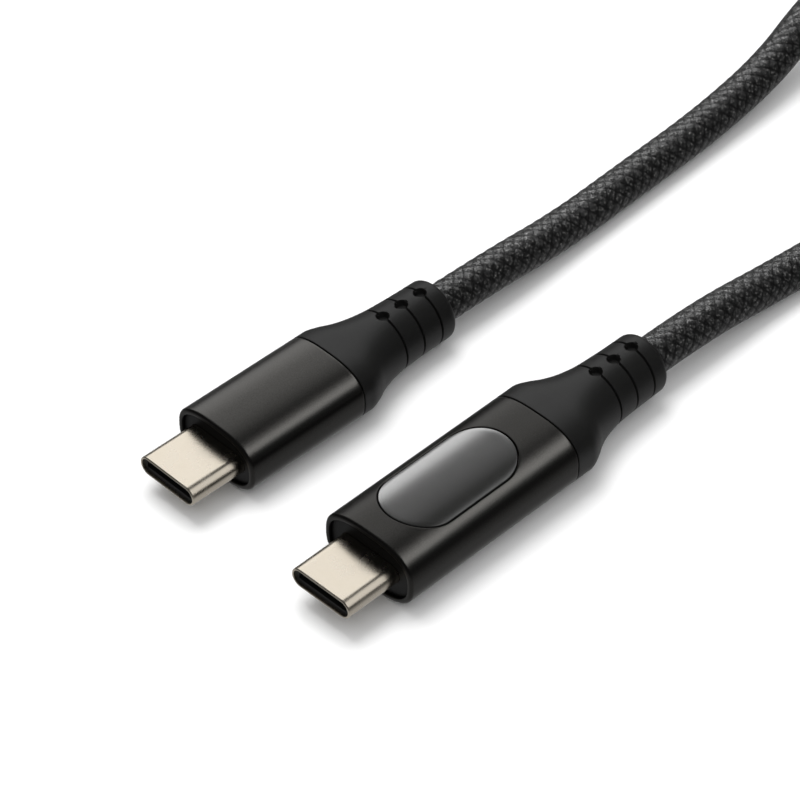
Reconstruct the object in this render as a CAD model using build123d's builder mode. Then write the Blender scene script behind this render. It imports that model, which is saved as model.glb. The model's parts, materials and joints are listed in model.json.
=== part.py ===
from build123d import *

import os
from dataclasses import dataclass
from math import copysign, cos, pi, radians, sin, tan

os.makedirs("parts", exist_ok=True)

# A braided USB-C cable with a power meter in one of its two plugs. Millimetres, +Z up. +X runs along
# the display plug from its nose to its cable, and the plug's bottom centre is the origin.
# Each plug is drawn from its own base plane: x from its nose tip, y across, z up from the floor.

# ---------------------------------------------------------------- driving sizes

# plug body
OVAL_POWER = 2.7  # superellipse power of the body's cross-section
LAND_DROP = 0.12  # how much the flat strip underneath takes off the oval
WALL = 0.6
FIT_GAP = 0.02  # round the pieces that slide into the body
LIP_FILLET = 0.35
SEAM_GAP = 0.15
SEAM_FILLET = 0.08

# USB-C nose
SHELL_WIDTH = 8.25
SHELL_HEIGHT = 2.40
SHELL_WALL = 0.25
SHELL_EXPOSED = 6.7
SHELL_LENGTH = 11.7
SHELL_LIP_FILLET = 0.12
INSULATOR_FRONT = 0.35
INSULATOR_BACK = 11.2
TONGUE_WIDTH = 6.7
TONGUE_HEIGHT = 0.8
TONGUE_BACK = 6.6
CONTACT_COUNT = 12
CONTACT_PITCH = 0.5
CONTACT_WIDTH = 0.25
CONTACT_INNER = 0.30  # the spring beams' inner face, above and below the plug's axis
CONTACT_THICKNESS = 0.12
CONTACT_ROOT = 6.5
STEM_FRONT = 6.55
STEM_BACK = 13.2
GROOVE_WIDTH = 0.30
GROOVE_TOP = 0.78
LATCH_INNER = 3.35
LATCH_THICKNESS = 0.2
LATCH_HEIGHT = 0.4
LATCH_ROOT = 6.85
PLATE_FRONT = 6.9
PLATE_BACK = 10.9
PLATE_THICKNESS = 0.12

# inside the body
INSERT_RECESS = 0.4
INSERT_BACK = 9.3
BOARD_FRONT = 11.75
BOARD_WIDTH = 8.2
BOARD_THICKNESS = 0.6
BOARD_TO_SEAM = 6.5
TAIL_TO_SEAM = 3.6  # how far the cable's end reaches into the body from the seam
MOULD_TO_SEAM = 4.6
SPIGOT_LENGTH = 4.5
SPIGOT_INSET = 0.65
CRIMP_LENGTH = 3.0
CRIMP_WALL = 0.35
POWER_WIRE_DIAMETER = 1.0
SIGNAL_WIRE_DIAMETER = 0.5
SOLDERED_LENGTH = 1.5

# meter window and what is under it
WINDOW_LENGTH = 16.9
WINDOW_WIDTH = 8.8
WINDOW_CENTRE = 11.6  # behind the body's front edge
WINDOW_GAP = 0.1
LENS_BOTTOM = 2.75  # above the plug's axis, as the next four are
GASKET_BOTTOM = 2.60
MODULE_TOP = 2.50
CARRIER_BOTTOM = 1.40
CARRIER_SETBACK = 0.3  # the carrier is this much shorter and narrower than the window
MODULE_LENGTH = 13.0
MODULE_WIDTH = 6.4
SEGMENT_HEIGHT = 0.06

# boot
BOOT_END_DIAMETER = 7.1
BOOT_END_FILLET = 0.7
GROOVE_PITCH = 2.77
GROOVE_TO_END = 2.3
GROOVE_SLIT = 0.2
GROOVE_DEPTH = 0.3
RELIEF_HOLE_DIAMETER = 1.4
RELIEF_HOLE_DEPTH = 0.8

# cable
CABLE_DIAMETER = 4.5
CABLE_RADIUS = CABLE_DIAMETER / 2
HANK_FRONT = 98.0
HANK_CENTRE_Y = 8.0
HANK_TURN_RADIUS = 18.0  # outer turn, on the cable's centre line
HANK_RUN = 70.0  # between the centres of the two folds
HANK_WAIST = 18.4
HANK_HEIGHT = 9.9
HANK_WAIST_FILLET = 24.0
HANK_TOP_LAYER = 6.75
HANK_TOP_FILLET = 1.5
HANK_CLEARANCE = 0.1  # between the hank and its tie, and round its leads
TIE_WIDTH = 10.0
TIE_THICKNESS = 0.9
TIE_INNER_CORNER = 2.6
HANK_WAIST_PLANE = Plane(
    origin=(HANK_FRONT + HANK_TURN_RADIUS + CABLE_RADIUS + HANK_RUN / 2, HANK_CENTRE_Y, 0),
    x_dir=(0, 1, 0),
    z_dir=(1, 0, 0),
)


@dataclass
class Plug:
    name: str
    base: Plane
    width: float
    oval_height: float
    sleeve_length: float
    boot_length: float
    band_length: float  # the boot's straight part, before it tapers

    @property
    def axis_z(self):
        return self.oval_height / 2 - LAND_DROP

    @property
    def seam(self):
        return SHELL_EXPOSED + self.sleeve_length

    @property
    def end(self):
        return self.seam + self.boot_length

    @property
    def board_back(self):
        return self.seam - BOARD_TO_SEAM

    @property
    def along(self):
        return Axis(self.base.origin, self.base.x_dir)

    def point(self, x, y=0.0, height=0.0):
        """A point x behind the nose tip, y across and height above the plug's axis."""
        return self.base.from_local_coords(Vector(x, y, self.axis_z + height))

    def across(self, x):
        """The plane square to the plug at x: its own x is across the plug, its y is up."""
        return Plane(origin=self.point(x), x_dir=self.base.y_dir, z_dir=self.base.x_dir)

    def level(self, height, x=0.0):
        """The horizontal plane at height above the plug's axis: its own x runs along the plug."""
        return Plane(origin=self.point(x, 0, height), x_dir=self.base.x_dir, z_dir=self.base.z_dir)

    def side(self, y=0.0):
        """The upright plane along the plug at y: its own x runs along the plug, its y is up."""
        return Plane(origin=self.point(0, y), x_dir=self.base.x_dir, z_dir=-self.base.y_dir)


DISPLAY_SLEEVE = 24.6
DISPLAY_BOOT = 17.0
DISPLAY_NOSE_X = -(SHELL_EXPOSED + DISPLAY_SLEEVE + DISPLAY_BOOT) / 2
PLAIN_NOSE_SETBACK = 0.3  # how far the plain plug's nose tip lies behind the display plug's
PLAIN_NOSE_Y = 22.9
PLAIN_YAW = -1.25
display = Plug(
    name="display",
    base=Plane(origin=(DISPLAY_NOSE_X, 0, 0)),
    width=12.4,
    oval_height=7.8,
    sleeve_length=DISPLAY_SLEEVE,
    boot_length=DISPLAY_BOOT,
    band_length=2.5,
)
plain = Plug(
    name="plain",
    base=Plane(
        origin=(DISPLAY_NOSE_X + PLAIN_NOSE_SETBACK, PLAIN_NOSE_Y, 0),
        x_dir=(cos(radians(PLAIN_YAW)), sin(radians(PLAIN_YAW)), 0),
        z_dir=(0, 0, 1),
    ),
    width=11.6,
    oval_height=7.2,
    sleeve_length=16.0,
    boot_length=16.0,
    band_length=1.5,
)


# ---------------------------------------------------------------- helpers


def save(piece, name):
    piece.part.label = name
    export_step(piece.part, f"parts/{name}.step")


def oval(width, height, power=OVAL_POWER, count=32):
    """A superellipse in the current sketch: power 2 is an ellipse, and more is squarer."""
    turns = [2 * pi * k / count for k in range(count)]
    points = [
        (
            copysign(abs(cos(t)) ** (2 / power) * width / 2, cos(t)),
            copysign(abs(sin(t)) ** (2 / power) * height / 2, sin(t)),
        )
        for t in turns
    ]
    with BuildLine() as outline:
        Spline(*points, periodic=True)
    make_face(outline.edges())


def body_block(plug, inset, start, stop):
    """Extrudes the body's oval, shrunk by inset, between two stations, in the current part."""
    with BuildSketch(plug.across(start)) as section:
        oval(plug.width - 2 * inset, plug.oval_height - 2 * inset)
    extrude(section.sketch, amount=stop - start)


def cut_below_land(plug, inset=0.0):
    """Trims the current part level, where the flat strip underneath is."""
    with BuildSketch(plug.level(inset - plug.axis_z)) as below:
        with Locations((plug.end / 2, 0)):
            Rectangle(2 * plug.end, 2 * plug.width)
    extrude(below.sketch, amount=-plug.oval_height, mode=Mode.SUBTRACT)


def flat_box(plug, x_span, width, z_span, y=0.0, mode=Mode.ADD):
    """A box in the current part, from its extent along the plug, its width and its height span."""
    with BuildSketch(plug.level(z_span[0])) as footprint:
        with Locations(((x_span[0] + x_span[1]) / 2, y)):
            Rectangle(x_span[1] - x_span[0], width)
    extrude(footprint.sketch, amount=z_span[1] - z_span[0], mode=mode)


def stadium_block(plug, length, width, z_span, mode=Mode.ADD):
    """An upright block with the window's outline, in the current part."""
    with BuildSketch(plug.level(z_span[0])) as footprint:
        with Locations((SHELL_EXPOSED + WINDOW_CENTRE, 0)):
            SlotOverall(length, width)
    extrude(footprint.sketch, amount=z_span[1] - z_span[0], mode=mode)


def rod(plug, diameter, x_span, y=0.0, height=0.0, mode=Mode.ADD):
    """A round bar along the plug, in the current part."""
    with BuildSketch(plug.across(x_span[0])) as section:
        with Locations((y, height)):
            Circle(diameter / 2)
    extrude(section.sketch, amount=x_span[1] - x_span[0], mode=mode)


def contact_places(height):
    """Where one row's contacts lie on a plane across the plug."""
    first = -CONTACT_PITCH * (CONTACT_COUNT - 1) / 2
    return [(first + k * CONTACT_PITCH, height) for k in range(CONTACT_COUNT)]


# ---------------------------------------------------------------- nose


def make_plug_shell(plug):
    with BuildPart() as shell:
        with BuildSketch(plug.across(0)):
            SlotOverall(SHELL_WIDTH, SHELL_HEIGHT)
        extrude(amount=SHELL_LENGTH)
        front = shell.faces().sort_by(plug.along)[0]
        fillet(front.edges(), SHELL_LIP_FILLET)
        with BuildSketch(plug.across(0)):
            SlotOverall(SHELL_WIDTH - 2 * SHELL_WALL, SHELL_HEIGHT - 2 * SHELL_WALL)
        extrude(amount=SHELL_LENGTH, mode=Mode.SUBTRACT)
    return shell


def make_shield_plate(plug):
    """The latch plate's fixed middle, between the two rows of stems, with an ear at each latch."""
    ear_back = PLATE_FRONT + 1.6
    with BuildPart() as plate:
        flat_box(
            plug,
            (PLATE_FRONT, PLATE_BACK),
            2 * LATCH_INNER,
            (-PLATE_THICKNESS / 2, PLATE_THICKNESS / 2),
        )
        for side in (-1, 1):
            flat_box(
                plug,
                (PLATE_FRONT, ear_back),
                LATCH_THICKNESS,
                (-LATCH_HEIGHT / 2, LATCH_HEIGHT / 2),
                y=side * (LATCH_INNER + LATCH_THICKNESS / 2),
            )
    return plate


def make_contact_stems(plug):
    """The contacts' fixed ends, moulded into the insulator and soldered to the board."""
    middle = CONTACT_INNER + CONTACT_THICKNESS / 2
    with BuildPart() as stems:
        with BuildSketch(plug.across(STEM_FRONT)):
            with Locations(*contact_places(middle), *contact_places(-middle)):
                Rectangle(CONTACT_WIDTH, CONTACT_THICKNESS)
        extrude(amount=STEM_BACK - STEM_FRONT)
    return stems


def make_contacts(plug, side):
    """One row of spring beams. side is 1 for the upper row and -1 for the lower row."""
    inner = CONTACT_INNER
    outer = CONTACT_INNER + CONTACT_THICKNESS
    bump = 0.06
    profile = [
        (CONTACT_ROOT, inner),
        (2.5, inner),
        (2.0, inner - bump),
        (1.7, inner - bump),
        (1.1, outer),
        (1.25, outer + 0.08),
        (1.85, outer - bump),
        (2.4, outer),
        (CONTACT_ROOT, outer),
    ]
    with BuildPart() as row:
        for y, _ in contact_places(0):
            with BuildSketch(plug.side(y)):
                with BuildLine():
                    Polyline(*[(x, side * z) for x, z in profile], close=True)
                make_face()
            extrude(amount=CONTACT_WIDTH / 2, both=True)
    return row


def make_latch(plug, side):
    """A side latch arm with its hook. side is -1 for the left and 1 for the right, seen from behind."""
    inner = LATCH_INNER
    outer = LATCH_INNER + LATCH_THICKNESS
    profile = [
        (LATCH_ROOT, inner),
        (2.9, inner),
        (2.5, inner - 0.3),
        (2.2, inner - 0.3),
        (1.9, inner + 0.05),
        (1.9, outer),
        (LATCH_ROOT, outer),
    ]
    with BuildPart() as latch:
        with BuildSketch(plug.level(-LATCH_HEIGHT / 2)):
            with BuildLine():
                Polyline(*[(x, side * y) for x, y in profile], close=True)
            make_face()
        extrude(amount=LATCH_HEIGHT)
    return latch


def make_contact_insulator(plug, stems, plate):
    """The moulded lining of the shell, with the tongue slot, contact grooves and latch pockets."""
    groove_depth = GROOVE_TOP - CONTACT_INNER
    groove_middle = (GROOVE_TOP + CONTACT_INNER) / 2
    groove_front = INSULATOR_FRONT + 0.5
    pocket_front = 1.5
    pocket_width = 0.6
    pocket_height = 0.56
    with BuildPart() as insulator:
        with BuildSketch(plug.across(INSULATOR_FRONT)):
            SlotOverall(SHELL_WIDTH - 2 * SHELL_WALL, SHELL_HEIGHT - 2 * SHELL_WALL)
        extrude(amount=INSULATOR_BACK - INSULATOR_FRONT)
        flat_box(
            plug,
            (INSULATOR_FRONT, TONGUE_BACK),
            TONGUE_WIDTH,
            (-TONGUE_HEIGHT / 2, TONGUE_HEIGHT / 2),
            mode=Mode.SUBTRACT,
        )
        with BuildSketch(plug.across(groove_front)):
            with Locations(*contact_places(groove_middle), *contact_places(-groove_middle)):
                Rectangle(GROOVE_WIDTH, groove_depth)
        extrude(amount=TONGUE_BACK - groove_front, mode=Mode.SUBTRACT)
        for side in (-1, 1):
            flat_box(
                plug,
                (pocket_front, PLATE_FRONT),
                pocket_width,
                (-pocket_height / 2, pocket_height / 2),
                y=side * (LATCH_INNER + pocket_width / 2),
                mode=Mode.SUBTRACT,
            )
        add(stems.part, mode=Mode.SUBTRACT)
        add(plate.part, mode=Mode.SUBTRACT)
    return insulator


# ---------------------------------------------------------------- electronics


def make_board(plug):
    half = BOARD_THICKNESS / 2
    with BuildPart() as board:
        flat_box(plug, (BOARD_FRONT, plug.board_back), BOARD_WIDTH, (-half, half))
        chamfer(board.edges().filter_by(Axis.Z), 0.3)
    return board


def make_chip(plug, x, length, width, height, y=0.0, under=False):
    """A square-cornered chip on the board's top face, or under it."""
    face = BOARD_THICKNESS / 2
    span = (-face - height, -face) if under else (face, face + height)
    with BuildPart() as chip:
        flat_box(plug, (x - length / 2, x + length / 2), width, span, y=y)
        edges = chip.faces().sort_by(Axis.Z)[0 if under else -1].edges()
        chamfer(edges, 0.08)
    return chip


def make_wires(plug, places, diameter):
    """Insulated wires from the board's rear pads to the cable's end. places are (y, height) pairs."""
    span = (plug.board_back - SOLDERED_LENGTH, plug.seam - TAIL_TO_SEAM)
    with BuildPart() as wires:
        for y, height in places:
            rod(plug, diameter, span, y, height)
    return wires


def make_lens(plug):
    """The smoked window: its outline is the opening's less a gap, and its top is the body's oval."""
    span = (SHELL_EXPOSED, plug.seam)
    with BuildPart() as lens:
        body_block(plug, 0, *span)
        with BuildSketch(plug.level(LENS_BOTTOM)):
            with Locations((SHELL_EXPOSED + WINDOW_CENTRE, 0)):
                SlotOverall(WINDOW_LENGTH - 2 * WINDOW_GAP, WINDOW_WIDTH - 2 * WINDOW_GAP)
        extrude(amount=2, mode=Mode.INTERSECT)
    return lens


def make_lens_gasket(plug):
    rim = 0.8
    length = WINDOW_LENGTH - 2 * WINDOW_GAP
    width = WINDOW_WIDTH - 2 * WINDOW_GAP
    span = (GASKET_BOTTOM, LENS_BOTTOM)
    with BuildPart() as gasket:
        stadium_block(plug, length, width, span)
        stadium_block(plug, length - 2 * rim, width - 2 * rim, span, mode=Mode.SUBTRACT)
    return gasket


def make_window_carrier(plug):
    """The frame that holds the digit module under the window."""
    centre = SHELL_EXPOSED + WINDOW_CENTRE
    span = (CARRIER_BOTTOM, GASKET_BOTTOM)
    with BuildPart() as carrier:
        stadium_block(
            plug,
            WINDOW_LENGTH - CARRIER_SETBACK,
            WINDOW_WIDTH - CARRIER_SETBACK,
            span,
        )
        flat_box(
            plug,
            (centre - MODULE_LENGTH / 2, centre + MODULE_LENGTH / 2),
            MODULE_WIDTH,
            span,
            mode=Mode.SUBTRACT,
        )
    return carrier


def make_digit_module(plug):
    centre = SHELL_EXPOSED + WINDOW_CENTRE
    with BuildPart() as module:
        flat_box(
            plug,
            (centre - MODULE_LENGTH / 2, centre + MODULE_LENGTH / 2),
            MODULE_WIDTH,
            (CARRIER_BOTTOM, MODULE_TOP),
        )
    return module


def make_digit_segments(plug):
    """Three seven-segment figures, read with the nose to the left."""
    digit_pitch = 4.1
    half_width = 1.05
    half_height = 1.95
    bar = 0.45
    gap = 0.08
    centre = SHELL_EXPOSED + WINDOW_CENTRE
    level_bar = (2 * (half_width - bar - gap), bar)
    upright_bar = (bar, half_height - gap)
    with BuildPart() as segments:
        with BuildSketch(plug.level(MODULE_TOP)):
            for digit in (-1, 0, 1):
                x = centre + digit * digit_pitch
                with Locations((x, half_height - bar / 2), (x, 0), (x, bar / 2 - half_height)):
                    Rectangle(*level_bar)
                reach = half_width - bar / 2
                lift = half_height / 2
                with Locations(*[(x + u * reach, v * lift) for u in (-1, 1) for v in (-1, 1)]):
                    Rectangle(*upright_bar)
        extrude(amount=SEGMENT_HEIGHT)
    return segments


def make_module_pins(plug):
    """Pins that join the digit module to the board."""
    centre = SHELL_EXPOSED + WINDOW_CENTRE
    top_of_board = BOARD_THICKNESS / 2
    columns = [centre - 4 + 2 * k for k in range(5)]
    with BuildPart() as pins:
        with BuildSketch(plug.level(top_of_board)):
            with Locations(*[(x, y) for x in columns for y in (-2.6, 2.6)]):
                Circle(0.2)
        extrude(amount=CARRIER_BOTTOM - top_of_board)
    return pins


# ---------------------------------------------------------------- body


def make_front_insert(plug):
    """The black plastic face round the shell, set a little back inside the body's mouth."""
    with BuildPart() as insert:
        body_block(plug, WALL + FIT_GAP, SHELL_EXPOSED + INSERT_RECESS, INSERT_BACK)
        with BuildSketch(plug.across(SHELL_EXPOSED)):
            SlotOverall(SHELL_WIDTH, SHELL_HEIGHT)
        extrude(amount=INSERT_BACK, mode=Mode.SUBTRACT)
        cut_below_land(plug, WALL + FIT_GAP)
    return insert


def make_inner_mould(plug, embedded):
    """The overmould that fills the body round the shell's tail and the electronics."""
    tunnel = 2 * (CONTACT_INNER + CONTACT_THICKNESS)
    with BuildPart() as mould:
        body_block(plug, WALL + FIT_GAP, INSERT_BACK, plug.seam - MOULD_TO_SEAM)
        cut_below_land(plug, WALL + FIT_GAP)
        with BuildSketch(plug.across(INSERT_BACK)):
            SlotOverall(SHELL_WIDTH, SHELL_HEIGHT)
        extrude(amount=SHELL_LENGTH - INSERT_BACK, mode=Mode.SUBTRACT)
        flat_box(
            plug,
            (SHELL_LENGTH, STEM_BACK),
            BOARD_WIDTH,
            (-tunnel / 2, tunnel / 2),
            mode=Mode.SUBTRACT,
        )
        for piece in embedded:
            add(piece.part, mode=Mode.SUBTRACT)
        if plug is display:
            stadium_block(
                plug,
                WINDOW_LENGTH,
                WINDOW_WIDTH,
                (CARRIER_BOTTOM, plug.oval_height),
                mode=Mode.SUBTRACT,
            )
    return mould


def make_sleeve(plug):
    """The anodised aluminium tube that is the plug's outside."""
    with BuildPart() as sleeve:
        body_block(plug, 0, SHELL_EXPOSED, plug.seam)
        cut_below_land(plug)
        ends = sleeve.faces().filter_by(GeomType.PLANE).sort_by(plug.along)
        fillet(ends[0].edges(), LIP_FILLET)
        ends = sleeve.faces().filter_by(GeomType.PLANE).sort_by(plug.along)
        fillet(ends[-1].edges(), SEAM_FILLET)
        with BuildSketch(plug.across(SHELL_EXPOSED)):
            oval(plug.width - 2 * WALL, plug.oval_height - 2 * WALL)
            with Locations((0, -plug.oval_height)):
                Rectangle(
                    2 * plug.width,
                    2 * (plug.oval_height - plug.axis_z + WALL),
                    mode=Mode.SUBTRACT,
                )
        extrude(amount=plug.sleeve_length, mode=Mode.SUBTRACT)
        if plug is display:
            stadium_block(
                plug,
                WINDOW_LENGTH,
                WINDOW_WIDTH,
                (CARRIER_BOTTOM, plug.oval_height),
                mode=Mode.SUBTRACT,
            )
    return sleeve


def boot_sections(plug):
    """Stations of the boot's taper: distance from the seam, width, height and power of the oval."""
    taper = plug.boot_length - plug.band_length
    waist = BOOT_END_DIAMETER + 0.55
    # share of the way along the taper, and share of the body's extra width still left there
    fullness = [(0.0, 1.0), (0.09, 0.8), (0.18, 0.5), (0.28, 0.26), (0.42, 0.06)]
    rows = []
    for share, extra in fullness:
        rows.append(
            (
                plug.band_length + share * taper,
                waist + extra * (plug.width - waist),
                BOOT_END_DIAMETER + 0.2 + extra * (plug.oval_height - BOOT_END_DIAMETER - 0.2),
                2 + extra * (OVAL_POWER - 2),
            )
        )
    rows.append((plug.boot_length - 0.35 * taper, BOOT_END_DIAMETER + 0.25, BOOT_END_DIAMETER + 0.1, 2))
    rows.append((plug.boot_length, BOOT_END_DIAMETER, BOOT_END_DIAMETER, 2))
    return rows


def make_boot(plug):
    """The soft strain relief, with its spigot in the body and three flex grooves near its end."""
    crimp_radius = CABLE_RADIUS + CRIMP_WALL
    with BuildPart() as boot:
        with BuildSketch(plug.across(plug.seam + SEAM_GAP)):
            oval(plug.width, plug.oval_height)
        extrude(amount=plug.band_length - SEAM_GAP)
        for distance, width, height, power in boot_sections(plug):
            with BuildSketch(plug.across(plug.seam + distance)):
                oval(width, height, power)
        loft()
        fillet(boot.faces().sort_by(plug.along)[-1].edges(), BOOT_END_FILLET)
        cut_below_land(plug)
        with BuildSketch(plug.across(plug.seam - SPIGOT_LENGTH)):
            oval(plug.width - 2 * SPIGOT_INSET, plug.oval_height - 2 * SPIGOT_INSET)
            with Locations((0, -plug.oval_height)):
                Rectangle(
                    2 * plug.width,
                    2 * (plug.oval_height - plug.axis_z + SPIGOT_INSET),
                    mode=Mode.SUBTRACT,
                )
        extrude(amount=SPIGOT_LENGTH + SEAM_GAP)
        for k in range(3):
            station = plug.end - GROOVE_TO_END - k * GROOVE_PITCH
            with BuildSketch(plug.across(station - GROOVE_SLIT / 2)):
                Circle(BOOT_END_DIAMETER)
                Circle(BOOT_END_DIAMETER / 2 + 0.15 - GROOVE_DEPTH, mode=Mode.SUBTRACT)
            extrude(amount=GROOVE_SLIT, mode=Mode.SUBTRACT)
            for side in (-1, 1):
                rim = side * (BOOT_END_DIAMETER / 2 + 0.1)
                with BuildSketch(plug.level(rim - side * RELIEF_HOLE_DEPTH, station)):
                    Circle(RELIEF_HOLE_DIAMETER / 2)
                extrude(amount=side * 2 * RELIEF_HOLE_DEPTH, mode=Mode.SUBTRACT)
        rod(plug, CABLE_DIAMETER, (plug.seam - SPIGOT_LENGTH, plug.end), mode=Mode.SUBTRACT)
        crimp_span = (plug.seam - SPIGOT_LENGTH, plug.seam - TAIL_TO_SEAM + CRIMP_LENGTH)
        rod(plug, 2 * crimp_radius, crimp_span, mode=Mode.SUBTRACT)
    return boot


def make_crimp_ring(plug):
    start = plug.seam - TAIL_TO_SEAM
    with BuildPart() as ring:
        rod(plug, CABLE_DIAMETER + 2 * CRIMP_WALL, (start, start + CRIMP_LENGTH))
        rod(plug, CABLE_DIAMETER, (start, start + CRIMP_LENGTH), mode=Mode.SUBTRACT)
    return ring


def make_cable_tail(plug):
    """The cable's last stretch, held inside the boot."""
    with BuildPart() as tail:
        rod(plug, CABLE_DIAMETER, (plug.seam - TAIL_TO_SEAM, plug.end))
    return tail


def build_plug(plug):
    face = BOARD_THICKNESS / 2
    chips_at = (BOARD_FRONT + plug.board_back) / 2
    power_height = face + POWER_WIRE_DIAMETER / 2
    signal_height = -face - SIGNAL_WIRE_DIAMETER / 2
    stems = make_contact_stems(plug)
    plate = make_shield_plate(plug)
    board = make_board(plug)
    embedded = {
        "paddle_board": board,
        "id_chip": make_chip(plug, BOARD_FRONT + 2.2, 1.2, 2.0, 0.5),
        "power_wire": make_wires(plug, [(0.9, power_height)], POWER_WIRE_DIAMETER),
        "ground_wire": make_wires(plug, [(-0.9, power_height)], POWER_WIRE_DIAMETER),
        "signal_wires": make_wires(
            plug,
            [(y, signal_height) for y in (-1.2, -0.4, 0.4, 1.2)],
            SIGNAL_WIRE_DIAMETER,
        ),
    }
    if plug is display:
        embedded["meter_chip"] = make_chip(plug, chips_at - 1.5, 3.0, 3.0, 0.75, under=True)
        embedded["shunt_resistor"] = make_chip(plug, chips_at + 2.5, 1.6, 3.2, 0.5, under=True)
        embedded["module_pins"] = make_module_pins(plug)
    pieces = dict(embedded)
    pieces.update(
        plug_shell=make_plug_shell(plug),
        contact_stems=stems,
        shield_plate=plate,
        contact_insulator=make_contact_insulator(plug, stems, plate),
        upper_contacts=make_contacts(plug, 1),
        lower_contacts=make_contacts(plug, -1),
        latch_left=make_latch(plug, -1),
        latch_right=make_latch(plug, 1),
        front_insert=make_front_insert(plug),
        inner_mould=make_inner_mould(plug, embedded.values()),
        sleeve=make_sleeve(plug),
        boot=make_boot(plug),
        crimp_ring=make_crimp_ring(plug),
        cable_tail=make_cable_tail(plug),
    )
    if plug is display:
        pieces.update(
            lens=make_lens(plug),
            lens_gasket=make_lens_gasket(plug),
            window_carrier=make_window_carrier(plug),
            digit_module=make_digit_module(plug),
            digit_segments=make_digit_segments(plug),
        )
    for name, piece in pieces.items():
        save(piece, f"{plug.name}_{name}")


# ---------------------------------------------------------------- cable


def make_cord_run(route, label):
    """A free stretch of cable: straight runs joined by arcs as large as the runs allow."""
    points = [Vector(*p) for p in route]
    radii = []
    for before, here, after in zip(points, points[1:], points[2:]):
        shorter = min((here - before).length, (after - here).length)
        turn = radians((here - before).get_angle(after - here))
        radii.append(0.45 * shorter / tan(turn / 2))
    with BuildPart() as run:
        with BuildLine() as path:
            FilletPolyline(*points, radius=radii)
        start = Plane(origin=path.line @ 0, z_dir=path.line % 0)
        with BuildSketch(start):
            Circle(CABLE_RADIUS)
        sweep()
    length = path.wire().length
    expected = pi * CABLE_RADIUS**2 * length
    print(label, "length", round(length, 2), "volume ratio", round(run.part.volume / expected, 4))
    print(label, "radii", [round(r, 1) for r in radii])
    return run


def make_tie():
    """A strap round the hank's waist."""
    outer = (HANK_WAIST + 2 * TIE_THICKNESS, HANK_HEIGHT + TIE_THICKNESS)
    inner = (HANK_WAIST, HANK_HEIGHT - TIE_THICKNESS)
    with BuildPart() as tie:
        with BuildSketch(HANK_WAIST_PLANE):
            with Locations((0, outer[1] / 2)):
                RectangleRounded(*outer, TIE_INNER_CORNER + TIE_THICKNESS)
            with Locations((0, TIE_THICKNESS + inner[1] / 2)):
                RectangleRounded(*inner, TIE_INNER_CORNER, mode=Mode.SUBTRACT)
        extrude(amount=TIE_WIDTH / 2, both=True)
    return tie


def make_cord_hank():
    """The outer shape of the tied hank: two round ends, a pinched waist and the two leads."""
    end_radius = HANK_TURN_RADIUS + CABLE_RADIUS
    fold = HANK_FRONT + end_radius
    with BuildPart() as hank:
        with BuildSketch():
            with Locations((fold, HANK_CENTRE_Y), (fold + HANK_RUN, HANK_CENTRE_Y)):
                Circle(end_radius)
            with Locations((fold + HANK_RUN / 2, HANK_CENTRE_Y)):
                Rectangle(HANK_RUN, HANK_WAIST)
        extrude(amount=HANK_HEIGHT)
        upright = hank.edges().filter_by(Axis.Z)
        corners = [e for e in upright if abs(abs(e.center().Y - HANK_CENTRE_Y) - HANK_WAIST / 2) < 0.01]
        fillet(corners, HANK_WAIST_FILLET)
        fillet(hank.faces().sort_by(Axis.Z)[-1].edges(), HANK_TOP_FILLET)
        for side, height in ((-1, CABLE_RADIUS), (1, HANK_TOP_LAYER)):
            lead_y = HANK_CENTRE_Y + side * HANK_TURN_RADIUS
            with BuildSketch(Plane(origin=(HANK_FRONT, lead_y, height), x_dir=(0, 1, 0), z_dir=(1, 0, 0))):
                Circle(CABLE_RADIUS - HANK_CLEARANCE)
            extrude(amount=end_radius)
        waist = (HANK_WAIST - 2 * HANK_CLEARANCE, HANK_HEIGHT - TIE_THICKNESS - 2 * HANK_CLEARANCE)
        with BuildSketch(HANK_WAIST_PLANE):
            with Locations((0, HANK_HEIGHT)):
                Rectangle(3 * HANK_WAIST, 2 * HANK_HEIGHT + 2 * TIE_THICKNESS)
            with Locations((0, TIE_THICKNESS + (HANK_HEIGHT - TIE_THICKNESS) / 2)):
                RectangleRounded(*waist, TIE_INNER_CORNER, mode=Mode.SUBTRACT)
        extrude(amount=TIE_WIDTH / 2, both=True, mode=Mode.SUBTRACT)
    return hank


def display_route():
    """From the display plug's boot, down to the floor and into the hank's lower lead."""
    lead_y = HANK_CENTRE_Y - HANK_TURN_RADIUS
    return [
        display.point(display.end),
        display.point(display.end + 9.0),
        (45.2, -0.4, CABLE_RADIUS),
        (57.5, -1.6, CABLE_RADIUS),
        (70.0, -4.6, CABLE_RADIUS),
        (80.0, -8.0, CABLE_RADIUS),
        (89.5, lead_y, CABLE_RADIUS),
        (HANK_FRONT, lead_y, CABLE_RADIUS),
    ]


def plain_route():
    """From the plain plug's boot along the floor, and up to the hank's upper lead."""
    lead_y = HANK_CENTRE_Y + HANK_TURN_RADIUS
    return [
        plain.point(plain.end),
        plain.point(plain.end + 9.0),
        (35.0, 22.0, CABLE_RADIUS),
        (47.5, 22.45, CABLE_RADIUS),
        (60.0, 22.85, CABLE_RADIUS),
        (72.0, 23.6, 3.4),
        (81.0, 25.2, 5.6),
        (89.5, lead_y, HANK_TOP_LAYER),
        (HANK_FRONT, lead_y, HANK_TOP_LAYER),
    ]


build_plug(display)
build_plug(plain)
save(make_cord_run(display_route(), "display run"), "cord_display_run")
save(make_cord_run(plain_route(), "plain run"), "cord_plain_run")
save(make_cord_hank(), "cord_hank")
save(make_tie(), "cable_tie")
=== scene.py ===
import json
from math import cos, pi, radians, sin, tan

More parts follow.
